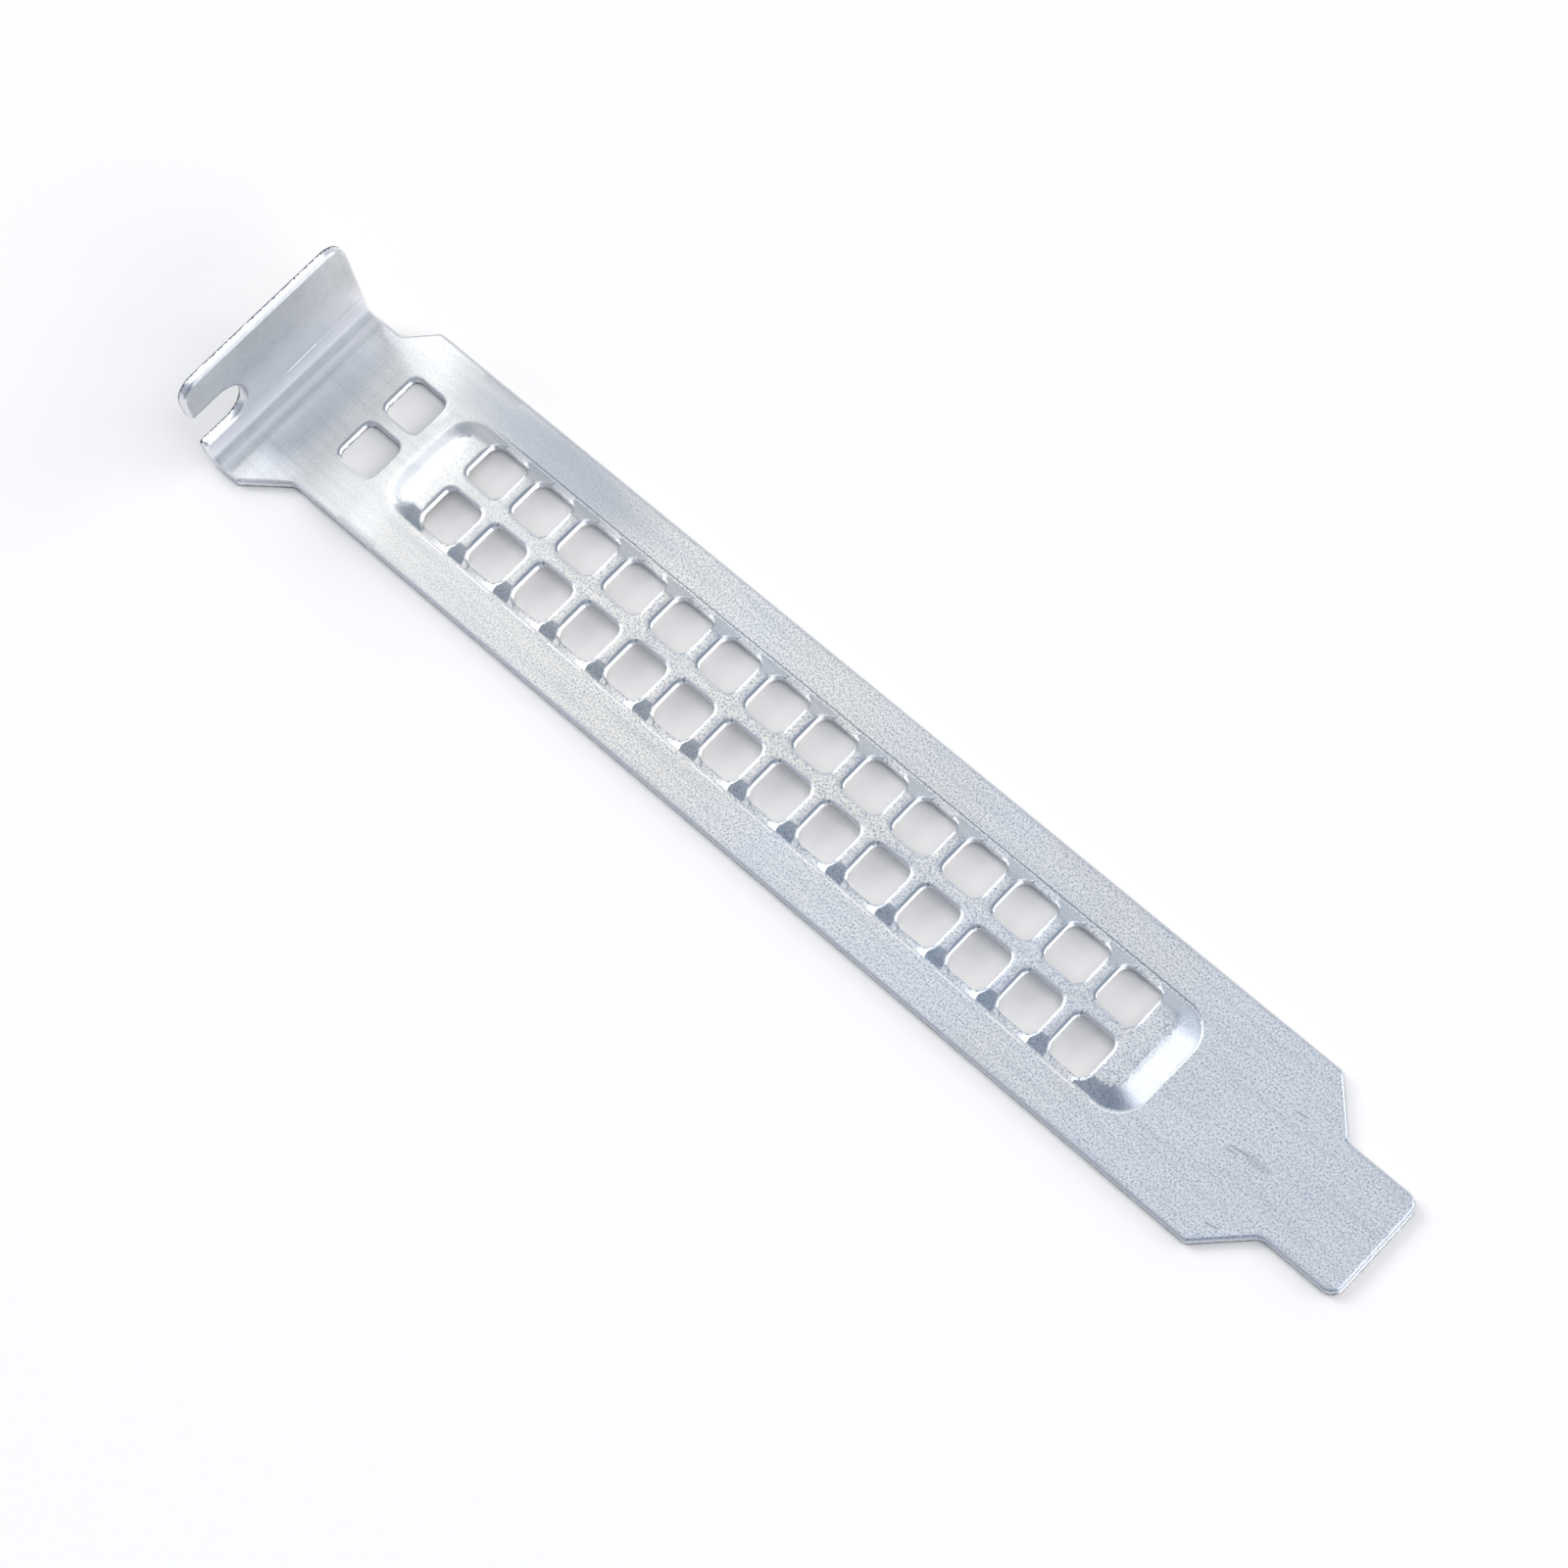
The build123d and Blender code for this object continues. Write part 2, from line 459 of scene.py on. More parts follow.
@dataclass(frozen=True)
class PunchedRims:
    """What the punch and the press leave on rims, webs and ledges, with painted shade on the tab-side
    rims and the webs' edges.

    A rim rolls over by no more than a few degrees, a cut face leans up to the light, a ledge sags
    between its webs, and the panel's tab end is a low dome with a rounded foot. A pair is a middle
    and the reach to both sides, but in web_from_line_mm, web_foot and dome_mm a start and an end.
    """

    rims_from_mm: float = -57.6
    round_mm: float = 0.4
    round_samples: int = 6
    foot_mm: Pair = (-44.8, 2.2)
    foot_round_mm: float = 1.2
    flat_face: float = 0.97
    rim_face: Pair = (0.7, 0.1)
    rim_ahead: float = 0.4
    cut_ahead: float = 0.75
    roll_flatness: float = 1.2
    cut_lean: float = 1.1
    tab_side_mm: Pair = (-6.0, 50.0)
    tab_side_lift: float = 4.0
    # Share of painted shade on the tab-side rims
    tab_side_shade: float = 0.75
    web_rise: float = 0.09
    web_end: float = 0.12
    web_from_line_mm: Pair = (0.5, 1.1)
    # Share of painted shade on the webs' edges
    web_edge_shade: float = 0.5
    web_slope: Pair = (-0.48, 0.14)
    web_foot: Pair = (0.13, 0.18)
    web_foot_ease: Point = (0.0, 0.45, 0.1)
    web_foot_sweep: Point = (-0.32, -0.09, 0.0)
    ledge_inset_mm: Pair = (0.5, 0.26)
    ledge_share: Pair = (0.49, 0.37)
    ledge_sag: float = 0.2
    dome_mm: Pair = (-43.5, -38.0)
    dome_lean: float = 0.05

    def facing(self, spot: Spot) -> Socket:
        """Round, roll and lean the sheet's faces.

        Args:
            spot: The place on the sheet.

        Returns:
            The direction that the sheet faces.
        """
        tree = spot.tree
        by_foot = add_node(
            tree, "ShaderNodeMath", {0: spot.x, 1: self.foot_mm[0], 2: self.foot_mm[1]},
            operation="COMPARE",
        ).outputs[0]
        radius = add_node(tree, "ShaderNodeMath", {
            0: by_foot, 1: (self.foot_round_mm - self.round_mm) * MM, 2: self.round_mm * MM,
        }, operation="MULTIPLY_ADD").outputs[0]
        rounded = add_node(
            tree, "ShaderNodeBevel", {"Radius": radius}, samples=self.round_samples
        ).outputs[0]
        flat = add_node(
            tree, "ShaderNodeMath", {0: spot.face_z, 1: self.flat_face}, operation="GREATER_THAN"
        ).outputs[0]
        behind = add_node(
            tree, "ShaderNodeMath", {0: spot.face_x, 1: self.rim_ahead}, operation="LESS_THAN"
        ).outputs[0]
        front = add_node(tree, "ShaderNodeMath", {
            0: flat, 1: overlap(tree, self._rims(spot), behind),
        }, operation="MAXIMUM").outputs[0]
        on_strip = add_node(
            tree, "ShaderNodeMath", {0: spot.x, 1: self.rims_from_mm}, operation="GREATER_THAN"
        ).outputs[0]
        cut = add_node(
            tree, "ShaderNodeMath", {0: spot.face_x, 1: self.cut_ahead}, operation="GREATER_THAN"
        ).outputs[0]
        lift = weighted_sum(tree, [
            (overlap(tree, front, on_strip), self.roll_flatness),
            (overlap(tree, cut, on_strip), self.cut_lean),
            (self._tab_side(spot), self.tab_side_lift),
        ])
        lifted = add_node(tree, "ShaderNodeVectorMath", {
            0: (0.0, 0.0, 1.0), 1: lift, 2: rounded,
        }, operation="MULTIPLY_ADD").outputs[0]
        facing = add_node(
            tree, "ShaderNodeVectorMath", {0: lifted}, operation="NORMALIZE"
        ).outputs[0]

        sag = add_node(tree, "ShaderNodeMath", {
            0: spot.share, 1: -2.0 * self.ledge_sag, 2: self.ledge_sag,
        }, operation="MULTIPLY_ADD").outputs[0]
        lean = weighted_sum(tree, [
            (overlap(tree, sag, self._ledges(spot), flat), 1.0),
            (overlap(tree, self._dome(spot), on_strip), -self.dome_lean),
        ])
        spread, tabwards = self._web_feet(spot)
        for turn, mask in (
            ((1.0, 0.0, 0.0), lean), (self.web_foot_ease, spread), (self.web_foot_sweep, tabwards),
        ):
            facing = add_node(
                tree, "ShaderNodeVectorMath", {0: turn, 1: mask, 2: facing}, operation="MULTIPLY_ADD"
            ).outputs[0]
        return add_node(
            tree, "ShaderNodeVectorMath", {0: facing}, operation="NORMALIZE"
        ).outputs[0]

    def darkened(self, spot: Spot) -> Socket:
        """Tell how far the tab-side rims and the webs' edges beside them are painted darker, as
        painted shade.

        Args:
            spot: The place on the sheet.

        Returns:
            The share of painted shade.
        """
        return weighted_sum(spot.tree, [
            (self._tab_side(spot), self.tab_side_shade), (self._web_edges(spot), self.web_edge_shade),
        ])

    def _rims(self, spot: Spot) -> Socket:
        """Find the bevelled rims on the front.

        Args:
            spot: The place on the sheet.

        Returns:
            The mask of the rims.
        """
        return add_node(spot.tree, "ShaderNodeMath", {
            0: spot.face_z, 1: self.rim_face[0], 2: self.rim_face[1],
        }, operation="COMPARE").outputs[0]

    def _tab_side(self, spot: Spot) -> Socket:
        """Find the windows' rims on the tab's side.

        Args:
            spot: The place on the sheet.

        Returns:
            The mask of these rims.
        """
        tree = spot.tree
        ahead = add_node(
            tree, "ShaderNodeMath", {0: spot.face_x, 1: self.rim_ahead}, operation="GREATER_THAN"
        ).outputs[0]
        by_windows = add_node(
            tree, "ShaderNodeMath", {0: spot.x, 1: self.tab_side_mm[0], 2: self.tab_side_mm[1]},
            operation="COMPARE",
        ).outputs[0]
        return overlap(tree, self._rims(spot), ahead, by_windows)

    def _among_windows(self, spot: Spot, margin_mm: float) -> Socket:
        """Find the stretch of the panel that holds the windows.

        Args:
            spot: The place on the sheet.
            margin_mm: How far the stretch ends inside the panel's foot.

        Returns:
            The mask of the stretch.
        """
        return add_node(spot.tree, "ShaderNodeMath", {
            0: spot.x, 1: PANEL.centre_mm[0], 2: PANEL.half_mm[0] - margin_mm,
        }, operation="COMPARE").outputs[0]

    def _on_top(self, spot: Spot) -> Socket:
        """Find what lies as high as the panel's top.

        Args:
            spot: The place on the sheet.

        Returns:
            The mask of what is that high.
        """
        return add_node(
            spot.tree, "ShaderNodeMath", {0: spot.z, 1: PANEL.top_from_mm}, operation="GREATER_THAN"
        ).outputs[0]

    def _dome(self, spot: Spot) -> Socket:
        """Find the low dome at the panel's tab end.

        Args:
            spot: The place on the sheet.

        Returns:
            1 at the end, falling to 0 along the panel.
        """
        near_end = add_node(spot.tree, "ShaderNodeMapRange", {
            "Value": spot.x, "From Min": self.dome_mm[0], "From Max": self.dome_mm[1],
            "To Min": 1.0, "To Max": 0.0,
        }, interpolation_type="SMOOTHSTEP").outputs[0]
        return overlap(spot.tree, self._on_top(spot), near_end)

    def _ledges(self, spot: Spot) -> Socket:
        """Find the narrow ledges between the windows and the panel's foot.

        Args:
            spot: The place on the sheet.

        Returns:
            The mask of the ledges.
        """
        tree = spot.tree
        across = add_node(tree, "ShaderNodeMath", {
            0: spot.reach, 1: PANEL.half_mm[1] - self.ledge_inset_mm[0], 2: self.ledge_inset_mm[1],
        }, operation="COMPARE").outputs[0]
        along = add_node(
            tree, "ShaderNodeMath", {0: spot.share, 1: self.ledge_share[0], 2: self.ledge_share[1]},
            operation="COMPARE",
        ).outputs[0]
        return overlap(tree, across, along, self._among_windows(spot, PANEL.pitch_mm / 2))

    def _web_edges(self, spot: Spot) -> Socket:
        """Find the edges of the webs by the next window's tab-side rim.

        Args:
            spot: The place on the sheet.

        Returns:
            0 at a web's middle, rising to 1 at that edge.
        """
        tree = spot.tree
        rising = add_node(
            tree, "ShaderNodeMapRange", {"Value": spot.share, "From Max": self.web_rise}
        ).outputs[0]
        on_web = add_node(
            tree, "ShaderNodeMath", {0: spot.share, 1: self.web_end}, operation="LESS_THAN"
        ).outputs[0]
        in_row = add_node(tree, "ShaderNodeMapRange", {
            "Value": spot.reach, "From Min": self.web_from_line_mm[0],
            "From Max": self.web_from_line_mm[1],
        }, interpolation_type="SMOOTHSTEP").outputs[0]
        among = self._among_windows(spot, PANEL.pitch_mm)
        return overlap(tree, rising, on_web, in_row, among, self._on_top(spot))

    def _web_feet(self, spot: Spot) -> tuple[Socket, Socket]:
        """Find where the webs' sloped ends on -Y spread past the webs.

        Args:
            spot: The place on the sheet.

        Returns:
            The mask of both sides, and the mask of the tab's side alone.
        """
        tree = spot.tree
        from_window = add_node(
            tree, "ShaderNodeMath", {0: spot.share, 1: PANEL.window_share}, operation="SUBTRACT"
        ).outputs[0]
        off_window = add_node(
            tree, "ShaderNodeMath", {0: from_window}, operation="ABSOLUTE"
        ).outputs[0]
        past_web = add_node(tree, "ShaderNodeMapRange", {
            "Value": off_window, "From Min": PANEL.window_share - self.web_foot[1],
            "From Max": PANEL.window_share - self.web_foot[0], "To Min": 1.0, "To Max": 0.0,
        }, interpolation_type="SMOOTHSTEP").outputs[0]
        sloped = add_node(
            tree, "ShaderNodeMath", {0: spot.face_y, 1: self.web_slope[0], 2: self.web_slope[1]},
            operation="COMPARE",
        ).outputs[0]
        tab_side = add_node(
            tree, "ShaderNodeMath", {0: from_window, 1: 0.0}, operation="GREATER_THAN"
        ).outputs[0]
        spread = overlap(tree, past_web, sloped, self._among_windows(spot, PANEL.pitch_mm))
        return spread, overlap(tree, spread, tab_side)


@dataclass(frozen=True)
class CutSteel:
    """Bare steel where the sheet is punched: a bright sheared band, and a ragged torn line.

    The band gives the eye a white streaky edge, and the torn line a thin dark one by the back.
    """

    bare: str = "#F6F6F8"
    streaked: str = "#CCCDD4"
    torn: str = "#5E636B"
    torn_mm: float = 0.13
    ragged_mm: float = 0.35
    ragged_gain: float = 4.0
    streaks_per_mm: Point = (9.0, 9.0, 0.8)
    tab_back_mm: float = -60.01
    fold_end_mm: float = -58.2
    fold_top_mm: float = 1.66
    cut_face: float = 0.35
    side_face: float = 0.6

    def edge(self, spot: Spot, coat: Socket) -> Socket:
        """Lay bare steel over the coat on the cut faces.

        Args:
            spot: The place on the sheet.
            coat: The coat's colour.

        Returns:
            The colour with the cut faces.
        """
        tree = spot.tree
        on_strip = add_node(
            tree, "ShaderNodeMath", {0: spot.x, 1: self.fold_end_mm}, operation="GREATER_THAN"
        ).outputs[0]
        streak_place = add_node(
            tree, "ShaderNodeVectorMath", {0: spot.place_mm, 1: self.streaks_per_mm},
            operation="MULTIPLY",
        ).outputs[0]
        streak = add_node(tree, "ShaderNodeTexNoise", {
            "Vector": streak_place, "Scale": 1.0, "Detail": 2.0,
        }).outputs["Fac"]
        colour = linear(self.bare)
        for share, under in ((streak, self.streaked), (self._torn_line(spot, on_strip), self.torn)):
            colour = add_node(tree, "ShaderNodeMix", {
                "Factor": share, "A": colour, "B": linear(under),
            }, data_type="RGBA").outputs["Result"]
        return add_node(tree, "ShaderNodeMix", {
            "Factor": self._cut_faces(spot, on_strip), "A": coat, "B": colour,
        }, data_type="RGBA").outputs["Result"]

    def _cut_faces(self, spot: Spot, on_strip: Socket) -> Socket:
        """Find the faces that are cut across the sheet.

        Args:
            spot: The place on the sheet.
            on_strip: The mask of the strip, past the fold.

        Returns:
            The mask of the cut faces.
        """
        tree = spot.tree
        facing = add_node(tree, "ShaderNodeVectorMath", {0: spot.face}, operation="ABSOLUTE")
        face = add_node(tree, "ShaderNodeSeparateXYZ", {0: facing.outputs[0]}).outputs
        flat = add_node(
            tree, "ShaderNodeMix", {"Factor": on_strip, "A": face["X"], "B": face["Z"]}
        ).outputs[0]
        steep = add_node(
            tree, "ShaderNodeMath", {0: flat, 1: self.cut_face}, operation="LESS_THAN"
        ).outputs[0]
        above = add_node(
            tree, "ShaderNodeMath", {0: spot.z, 1: self.fold_top_mm}, operation="GREATER_THAN"
        ).outputs[0]
        off_fold = add_node(
            tree, "ShaderNodeMath", {0: on_strip, 1: above}, operation="MAXIMUM"
        ).outputs[0]
        sideways = add_node(
            tree, "ShaderNodeMath", {0: face["Y"], 1: self.side_face}, operation="GREATER_THAN"
        ).outputs[0]
        return add_node(tree, "ShaderNodeMath", {
            0: overlap(tree, steep, off_fold), 1: sideways,
        }, operation="MAXIMUM").outputs[0]

    def _torn_line(self, spot: Spot, on_strip: Socket) -> Socket:
        """Find the ragged line along a cut edge, by the sheet's back face.

        Args:
            spot: The place on the sheet.
            on_strip: The mask of the strip, past the fold.

        Returns:
            The mask of the torn line.
        """
        tree = spot.tree
        on_tab = add_node(
            tree, "ShaderNodeMath", {0: spot.x, 1: self.tab_back_mm}, operation="SUBTRACT"
        ).outputs[0]
        from_back = add_node(
            tree, "ShaderNodeMix", {"Factor": on_strip, "A": on_tab, "B": spot.z}
        ).outputs[0]
        ragged = add_node(tree, "ShaderNodeTexNoise", {
            "Vector": spot.place_mm, "Scale": 1 / self.ragged_mm, "Detail": 2.0,
        }).outputs["Fac"]
        width = add_node(tree, "ShaderNodeMath", {
            0: ragged, 1: self.ragged_gain * self.torn_mm, 2: -self.torn_mm,
        }, operation="MULTIPLY_ADD").outputs[0]
        return add_node(
            tree, "ShaderNodeMath", {0: from_back, 1: width}, operation="LESS_THAN"
        ).outputs[0]


@dataclass(frozen=True)
class ZincCoat:
    """The rolled zinc: a bluer cast towards the tongue, painted in for the cooler light there, with
    random cloudy tone, rolling streaks and fine dark specks.
    """

    coat: str = "#E6E4DF"
    # Painted light: a bluer cast towards the tongue, mixed with random cloudy tone
    blue_light_and_cloud: str = "#DEE3EA"
    # Dull zinc, for the real streaks, drags and smear, and also the colour of the painted shade
    dull: str = "#8F98A6"
    speck: str = "#94A0B3"
    mean_speck: float = 0.3
    speck_levels: Pair = (0.32, 0.56)
    flat_levels: Pair = (0.955, 0.985)
    sloped_specks: float = 0.25
    side_levels: Pair = (-0.45, -0.15)
    side_specks: float = 0.7
    speck_from_mm: Pair = (-44.0, -20.0)
    tab_end_specks: float = 0.3
    cloud_mm: float = 14.0
    blue_light_per_mm: float = 0.006
    blue_levels: Pair = (0.3, 0.85)
    roll_mm: Point = (8.0, 0.6, 0.6)
    roll_levels: Pair = (0.45, 0.75)
    roll_share: float = 0.22

    def colour(self, spot: Spot, grain: Socket, patches: tuple[ShadeAndSmearPatch, ...]) -> Socket:
        """Colour the coat.

        Args:
            spot: The place on the sheet.
            grain: The grain's height.
            patches: Where the coat is painted darker: painted shade, and a real smear.

        Returns:
            The coat's colour.
        """
        tree = spot.tree
        cloud = add_node(tree, "ShaderNodeTexNoise", {
            "Vector": spot.place_mm, "Scale": 1 / self.cloud_mm, "Detail": 3.0,
        }).outputs["Fac"]
        # Painted light: the coat turns bluer along x towards the tongue, and the cloud adds random
        # tone
        light_and_cloud_drift = add_node(
            tree, "ShaderNodeMath", {0: spot.x, 1: self.blue_light_per_mm, 2: cloud},
            operation="MULTIPLY_ADD",
        ).outputs[0]
        blue_light_and_cloud_share = add_node(tree, "ShaderNodeMapRange", {
            "Value": light_and_cloud_drift, "From Min": self.blue_levels[0], "From Max": self.blue_levels[1],
        }, interpolation_type="SMOOTHSTEP").outputs[0]
        rolling = add_node(
            tree, "ShaderNodeVectorMath", {0: spot.place_mm, 1: self.roll_mm}, operation="DIVIDE"
        ).outputs[0]
        streak = add_node(tree, "ShaderNodeTexNoise", {
            "Vector": rolling, "Scale": 1.0, "Detail": 3.0,
        }).outputs["Fac"]
        rolled = add_node(tree, "ShaderNodeMapRange", {
            "Value": streak, "From Min": self.roll_levels[0], "From Max": self.roll_levels[1],
            "To Min": 0.0, "To Max": self.roll_share,
        }).outputs[0]
        layers = [(blue_light_and_cloud_share, self.blue_light_and_cloud), (rolled, self.dull)]
        # Patches of painted shade, and a real smear, darken the coat
        layers += [(patch.mask(spot), self.dull) for patch in patches]
        layers.append((self._specks(spot, grain), self.speck))
        colour = linear(self.coat)
        for share, over in layers:
            colour = add_node(tree, "ShaderNodeMix", {
                "Factor": share, "A": colour, "B": linear(over),
            }, data_type="RGBA").outputs["Result"]
        return colour

    def _specks(self, spot: Spot, grain: Socket) -> Socket:
        """Scatter the specks: clear on flats and -Y slopes, faint elsewhere and at the tab end.

        Args:
            spot: The place on the sheet.
            grain: The grain's height.

        Returns:
            The share of the specks' colour, with the same mean where they are faint.
        """
        tree = spot.tree
        level = add_node(
            tree, "ShaderNodeMath", {0: spot.face_z}, operation="ABSOLUTE"
        ).outputs[0]
        on_flat = add_node(tree, "ShaderNodeMapRange", {
            "Value": level, "From Min": self.flat_levels[0], "From Max": self.flat_levels[1],
            "To Min": self.sloped_specks, "To Max": 1.0,
        }).outputs[0]
        on_side = add_node(tree, "ShaderNodeMapRange", {
            "Value": spot.face_y, "From Min": self.side_levels[0], "From Max": self.side_levels[1],
            "To Min": self.side_specks, "To Max": 0.0,
        }).outputs[0]
        clear = add_node(
            tree, "ShaderNodeMath", {0: on_flat, 1: on_side}, operation="MAXIMUM"
        ).outputs[0]
        off_fold = add_node(tree, "ShaderNodeMapRange", {
            "Value": spot.x, "From Min": self.speck_from_mm[0], "From Max": self.speck_from_mm[1],
            "To Min": self.tab_end_specks, "To Max": 1.0,
        }).outputs[0]
        dark = add_node(tree, "ShaderNodeMapRange", {
            "Value": grain, "From Min": self.speck_levels[0], "From Max": self.speck_levels[1],
            "To Min": 1.0, "To Max": 0.0,
        }).outputs[0]
        off_mean = add_node(
            tree, "ShaderNodeMath", {0: dark, 1: self.mean_speck}, operation="SUBTRACT"
        ).outputs[0]
        return add_node(tree, "ShaderNodeMath", {
            0: off_mean, 1: overlap(tree, clear, off_fold), 2: self.mean_speck,
        }, operation="MULTIPLY_ADD").outputs[0]


@dataclass(frozen=True)
class ZincCoatedSteel:
    """Steel sheet, electro-galvanised and skin-rolled, then punched, pressed and folded.

    The rolled zinc gives the eye a cool grey satin with a fine sparkling grain of pale and
    blue-grey specks, and bright bare steel along the punched edges.
    """

    name: str = "zinc_coated_steel_satin"
    roughness: float = 0.30
    roughness_swing: float = 0.05
    # The real grain is about 0.05 mm wide, too fine to show, so it is drawn coarser
    grain_mm: float = 0.17
    grain_depth_mm: float = 0.012
    coat: ZincCoat = field(default_factory=ZincCoat)
    cut: CutSteel = field(default_factory=CutSteel)
    rims: PunchedRims = field(default_factory=PunchedRims)
    step: PressStep = field(default_factory=PressStep)
    fold: FoldMarks = field(default_factory=FoldMarks)
    marks: tuple[Mark, ...] = ()
    # Patches of painted shade, and a real smear
    patches: tuple[ShadeAndSmearPatch, ...] = ()

    def build(self) -> bpy.types.Material:
        """Make the material with all its nodes.

        Returns:
            The finished material.
        """
        material = bpy.data.materials.new(self.name)
        material.use_nodes = True
        tree = material.node_tree
        tree.nodes.clear()
        spot = Spot.on_sheet(tree)
        grain = add_node(tree, "ShaderNodeTexNoise", {
            "Vector": spot.place_mm, "Scale": 1 / self.grain_mm, "Detail": 2.0, "Roughness": 0.6,
        }).outputs["Fac"]
        rough, lines, fold_streaks_and_shade, painted_fold_highlight = self.fold.rub_and_paint_light(spot)
        scored, scratched, dragged = self._score(spot)
        stepped, painted_step_highlight = self.step.press(spot)

        height = weighted_sum(tree, [
            (grain, self.grain_depth_mm),
            (stepped, self.step.drop_mm),
            (self.fold.spring(spot), 1.0),
            (lines, self.fold.line_depth_mm),
            (scored, -1.0),
        ])
        normal = add_node(tree, "ShaderNodeBump", {
            "Strength": 1.0, "Distance": MM, "Height": height, "Normal": self.rims.facing(spot),
        }).outputs[0]
        grain_roughness = add_node(tree, "ShaderNodeMapRange", {
            "Value": grain, "To Min": self.roughness - self.roughness_swing,
            "To Max": self.roughness + self.roughness_swing,
        }).outputs[0]
        roughness = add_node(tree, "ShaderNodeMath", {
            0: rough, 1: self.fold.extra_roughness, 2: grain_roughness,
        }, operation="MULTIPLY_ADD").outputs[0]

        # Darkened: the fold's streaks and the drags are real; the fold's middle, the tab-side rims and
        # the webs' edges are painted shade
        darkened = weighted_sum(tree, [
            (fold_streaks_and_shade, 1.0), (dragged, 1.0), (self.rims.darkened(spot), 1.0),
        ])
        coat = add_node(tree, "ShaderNodeMix", {
            "Factor": darkened, "A": self.coat.colour(spot, grain, self.patches),
            "B": linear(self.coat.dull),
        }, data_type="RGBA").outputs["Result"]
        # Brightened: scratches and grooves show real bare metal; the step's line on -Y, the fold's
        # sides and the tab's foot are painted highlights
        bright = weighted_sum(tree, [
            (scratched, 1.0), (painted_step_highlight, self.step.highlight_share), (painted_fold_highlight, 1.0),
        ])
        colour = add_node(tree, "ShaderNodeMix", {
            "Factor": bright, "A": self.cut.edge(spot, coat), "B": linear(self.cut.bare),
        }, data_type="RGBA").outputs["Result"]
        shader = add_node(tree, "ShaderNodeBsdfPrincipled", {
            "Base Color": colour, "Metallic": 1.0, "Roughness": roughness, "Normal": normal,
        })
        add_node(tree, "ShaderNodeOutputMaterial", {"Surface": shader.outputs[0]})
        return material

    def _score(self, spot: Spot) -> tuple[Socket | float, Socket | float, Socket | float]:
        """Score the sheet with its scratches, grooves and drag marks.

        Args:
            spot: The place on the sheet.

        Returns:
            How deep the sheet is scored, in millimetres, how far bright metal shows, and how far
            the zinc is dulled.
        """
        depths, brights, dulls = [], [], []
        for mark in self.marks:
            on_mark = mark.mask(spot)
            for terms, weight in zip((depths, brights, dulls), mark.kind.value):
                if weight:
                    terms.append((on_mark, weight))
        deep, bright, dull = (weighted_sum(spot.tree, terms) for terms in (depths, brights, dulls))
        return deep, bright, dull


@dataclass
class SlotCover:
    """The folded and pressed sheet, dressed in its coat."""

    node: str = "slot_cover"
    slot: str = "zinc_steel"
    finish: ZincCoatedSteel = field(default_factory=ZincCoatedSteel)

    def dress(self, sheet: bpy.types.Object) -> None:
        """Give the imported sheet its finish.

        Args:
            sheet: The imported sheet's object.
        """
        material = self.finish.build()
        sheet.data.materials.clear()
        sheet.data.materials.append(material)
        LOG.info("%s: %s, %d faces", self.node, material.name, len(sheet.data.polygons))


@dataclass(frozen=True)
class WhiteTable:
    """The plain pale table top that the cover lies on: pressed laminate, matt white to the eye."""

    half_m: float = 1.5
    drop_mm: float = 0.02
    colour: str = "#F3F0ED"

    def build(self) -> bpy.types.Object:
        """Make the table top.

        Returns:
            The table's object.
        """
        mesh = bpy.data.meshes.new("white_table")
        form = bmesh.new()
        bmesh.ops.create_grid(form, x_segments=1, y_segments=1, size=self.half_m)
        form.to_mesh(mesh)
        form.free()
        table = bpy.data.objects.new("white_table", mesh)
        bpy.context.scene.collection.objects.link(table)
        table.location.z = -self.drop_mm * MM
        mesh.materials.append(self._laminate())
        LOG.info("table: %.1f m square", 2 * self.half_m)
        return table

    def _laminate(self) -> bpy.types.Material:
        """Make the table's material.

        Returns:
            The matt white laminate.
        """
        material = bpy.data.materials.new("matt_white_laminate")
        material.use_nodes = True
        tree = material.node_tree
        tree.nodes.clear()
        shader = add_node(tree, "ShaderNodeBsdfDiffuse", {"Color": linear(self.colour)})
        add_node(tree, "ShaderNodeOutputMaterial", {"Surface": shader.outputs[0]})
        return material


@dataclass(frozen=True)
class Softbox:
    """One rectangular white studio lamp that faces the cover."""

    name: str
    towards: Point
    distance_m: float
    size_m: Pair
    radiance: float

    def build(self) -> bpy.types.Object:
        """Make the lamp and aim it.

        Returns:
            The lamp's object.
        """
        data = bpy.data.lights.new(self.name, "AREA")
        data.shape = "RECTANGLE"
        data.size, data.size_y = self.size_m
        data.energy = self.radiance * self.size_m[0] * self.size_m[1] * math.pi
        lamp = bpy.data.objects.new(self.name, data)
        direction = Vector(self.towards).normalized()
        lamp.location = direction * self.distance_m
        lamp.rotation_mode = "QUATERNION"
        lamp.rotation_quaternion = direction.to_track_quat("Z", "Y")
        bpy.context.scene.collection.objects.link(lamp)
        LOG.info("lamp %s: radiance %.2f", self.name, self.radiance)
        return lamp


@dataclass(frozen=True)
class Glow:
    """A soft patch of the room, brighter than the walls, seen in one direction."""

    towards: Point
    inner_deg: float
    outer_deg: float
    colour: str
    strength: float = 1.0


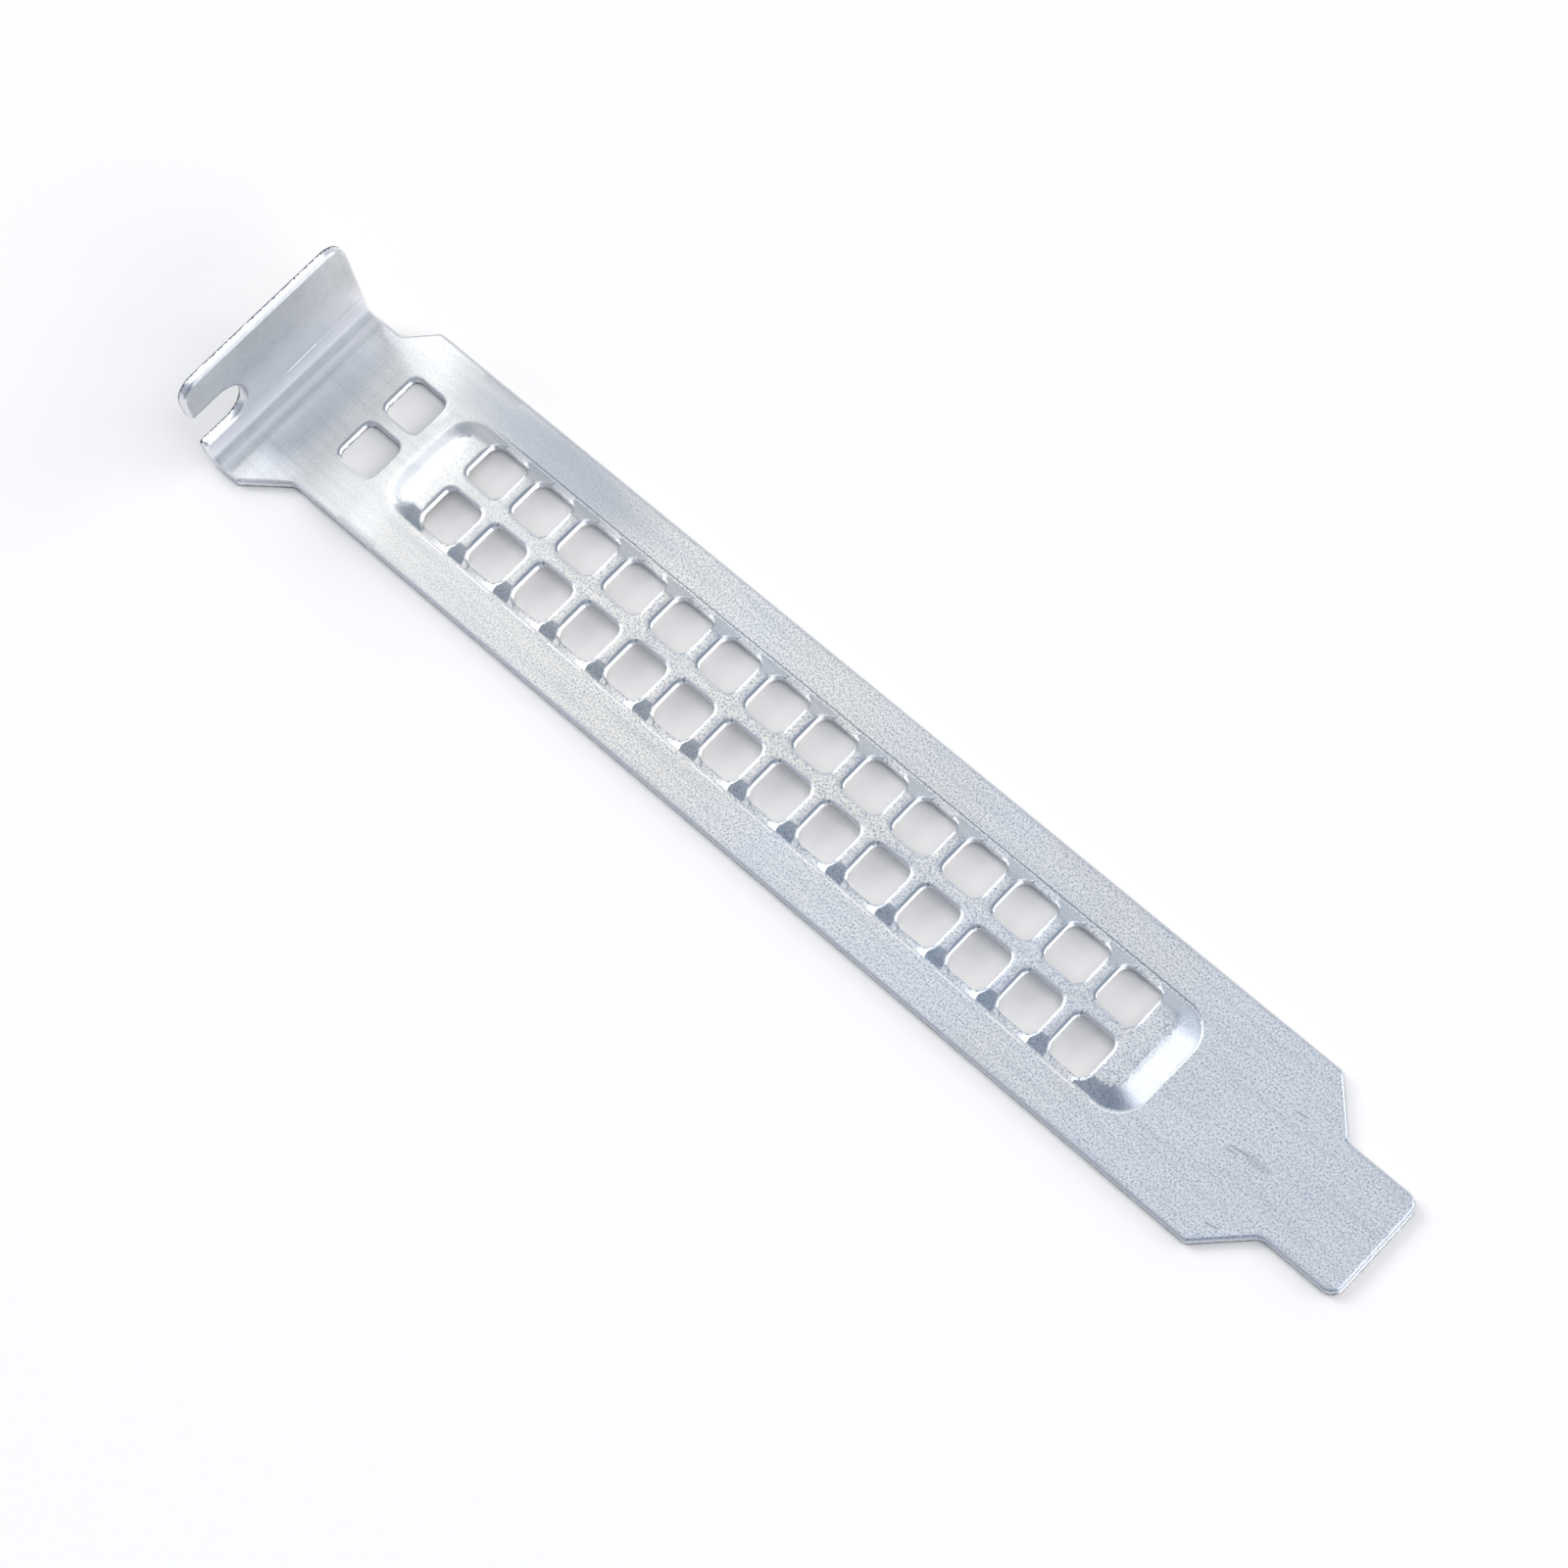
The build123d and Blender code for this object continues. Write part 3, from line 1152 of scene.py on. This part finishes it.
@dataclass(frozen=True)
class Studio:
    """The room round the table: blue-grey walls with paler patches, and its lamps."""

    walls: str = "#8F9BAC"
    patches: tuple[Glow, ...] = (
        Glow((-0.36, 0.92, 0.22), 18.0, 45.0, "#E6EAEF"),
        Glow((-0.45, -0.85, 0.28), 22.0, 55.0, "#A8B2BF"),
        Glow((-0.40, 0.17, 0.90), 10.0, 30.0, "#FFFFFF", 1.02),
        Glow((0.40, 0.24, 0.88), 10.0, 26.0, "#FFFFFF", 2.0),
        Glow((-0.67, 0.12, 0.72), 5.0, 14.5, "#FFFFFF", 2.35),
    )
    lamps: tuple[Softbox, ...] = (
        Softbox("side_softbox", (-0.85, -0.04, 0.53), 2.5, (1.5, 0.9), 6.6),
        Softbox("far_softbox", (0.87, 0.05, 0.45), 2.5, (1.6, 1.0), 2.9),
        Softbox("back_softbox", (0.52, 0.74, 0.42), 2.5, (1.6, 1.2), 3.6),
    )

    def build(self) -> None:
        """Make the room's light and the lamps."""
        world = bpy.data.worlds.new("pale_room")
        world.use_nodes = True
        tree = world.node_tree
        tree.nodes.clear()
        look = add_node(tree, "ShaderNodeTexCoord").outputs["Generated"]
        colour = linear(self.walls)
        for patch in self.patches:
            facing = add_node(tree, "ShaderNodeVectorMath", {
                0: look, 1: Vector(patch.towards).normalized(),
            }, operation="DOT_PRODUCT").outputs["Value"]
            share = add_node(tree, "ShaderNodeMapRange", {
                "Value": facing, "From Min": math.cos(math.radians(patch.outer_deg)),
                "From Max": math.cos(math.radians(patch.inner_deg)),
            }, interpolation_type="SMOOTHSTEP").outputs[0]
            colour = add_node(tree, "ShaderNodeMix", {
                "Factor": share, "A": colour,
                "B": [c * patch.strength for c in linear(patch.colour)],
            }, data_type="RGBA").outputs["Result"]
        glow = add_node(tree, "ShaderNodeBackground", {"Color": colour})
        add_node(tree, "ShaderNodeOutputWorld", {"Surface": glow.outputs[0]})
        bpy.context.scene.world = world
        LOG.info("room: %d paler patches on its walls", len(self.patches))
        for lamp in self.lamps:
            lamp.build()


@dataclass(frozen=True)
class StudioCamera:
    """The camera, where the cover was seen from."""

    location: Point = (0.122824, -0.072908, 0.318947)
    right: Point = (0.71665713, 0.68652176, -0.12284314)
    up: Point = (-0.60010266, 0.69675668, 0.39294646)
    back: Point = (0.35535807, -0.20788939, 0.91131918)
    lens_mm: float = 98.92
    sensor_mm: float = 36.0
    clip_start_m: float = 0.01

    def build(self) -> bpy.types.Object:
        """Make the camera and make it the scene's own.

        Returns:
            The camera's object.
        """
        data = bpy.data.cameras.new("studio_camera")
        data.lens = self.lens_mm
        data.sensor_width = self.sensor_mm
        data.clip_start = self.clip_start_m
        camera = bpy.data.objects.new("studio_camera", data)
        bpy.context.scene.collection.objects.link(camera)
        axes = Matrix((self.right, self.up, self.back)).transposed().to_4x4()
        camera.matrix_world = Matrix.Translation(self.location) @ axes
        bpy.context.scene.camera = camera
        LOG.info("camera: %.1f mm lens", self.lens_mm)
        return camera


# Marks: a groove across the tab's foot, drag marks by the tongue, a scratch by the panel
MARKS = (
    Mark(MarkKind.GROOVE, (-59.15, 2.42, 3.31), (-59.15, 7.79, 3.45), 0.20),
    Mark(MarkKind.GROOVE, (-59.15, -1.17, 3.14), (-59.15, 2.42, 3.31), 0.16),
    Mark(MarkKind.DRAG, (46.10, 0.42, 0.86), (47.70, 0.66, 0.86), 0.30),
    Mark(MarkKind.DRAG, (46.00, 0.02, 0.86), (47.00, 0.16, 0.86), 0.30),
    Mark(MarkKind.DRAG, (48.10, 5.84, 0.86), (49.00, 5.95, 0.86), 0.30),
    Mark(MarkKind.DRAG, (48.80, -5.50, 0.86), (49.80, -5.30, 0.86), 0.30),
    Mark(MarkKind.SCRATCH, (2.10, -5.10, 0.86), (3.20, -4.80, 0.86), 0.16),
)
# Painted shade on the tab's top, on the strip by the fold (the tab's dark reflection), and in a band
# along +Y; a real smear by the tongue
SHADE_AND_SMEAR_PATCHES = (
    ShadeAndSmearPatch((-59.15, -4.0, 11.5), (3.0, 13.0, 7.0), 0.30),
    ShadeAndSmearPatch((-56.2, -1.5, 0.86), (3.4, 13.0, 1.6), 0.48),
    ShadeAndSmearPatch((-36.0, 8.7, 0.86), (16.0, 3.4, 3.0), 0.58),
    ShadeAndSmearPatch((48.6, 0.6, 0.86), (1.8, 0.6, 3.0), 0.40),
)


def main() -> None:
    """Load the part, dress it, and set the table, the light and the camera round it."""
    logging.basicConfig(level=logging.INFO, format="%(name)s: %(message)s")
    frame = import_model()
    bpy.context.scene.view_settings.view_transform = "Standard"

    cover = SlotCover(finish=ZincCoatedSteel(marks=MARKS, patches=SHADE_AND_SMEAR_PATCHES))
    cover.dress(frame["nodes"][cover.node])
    WhiteTable().build()
    Studio().build()
    StudioCamera().build()


if __name__ == "__main__":
    main()
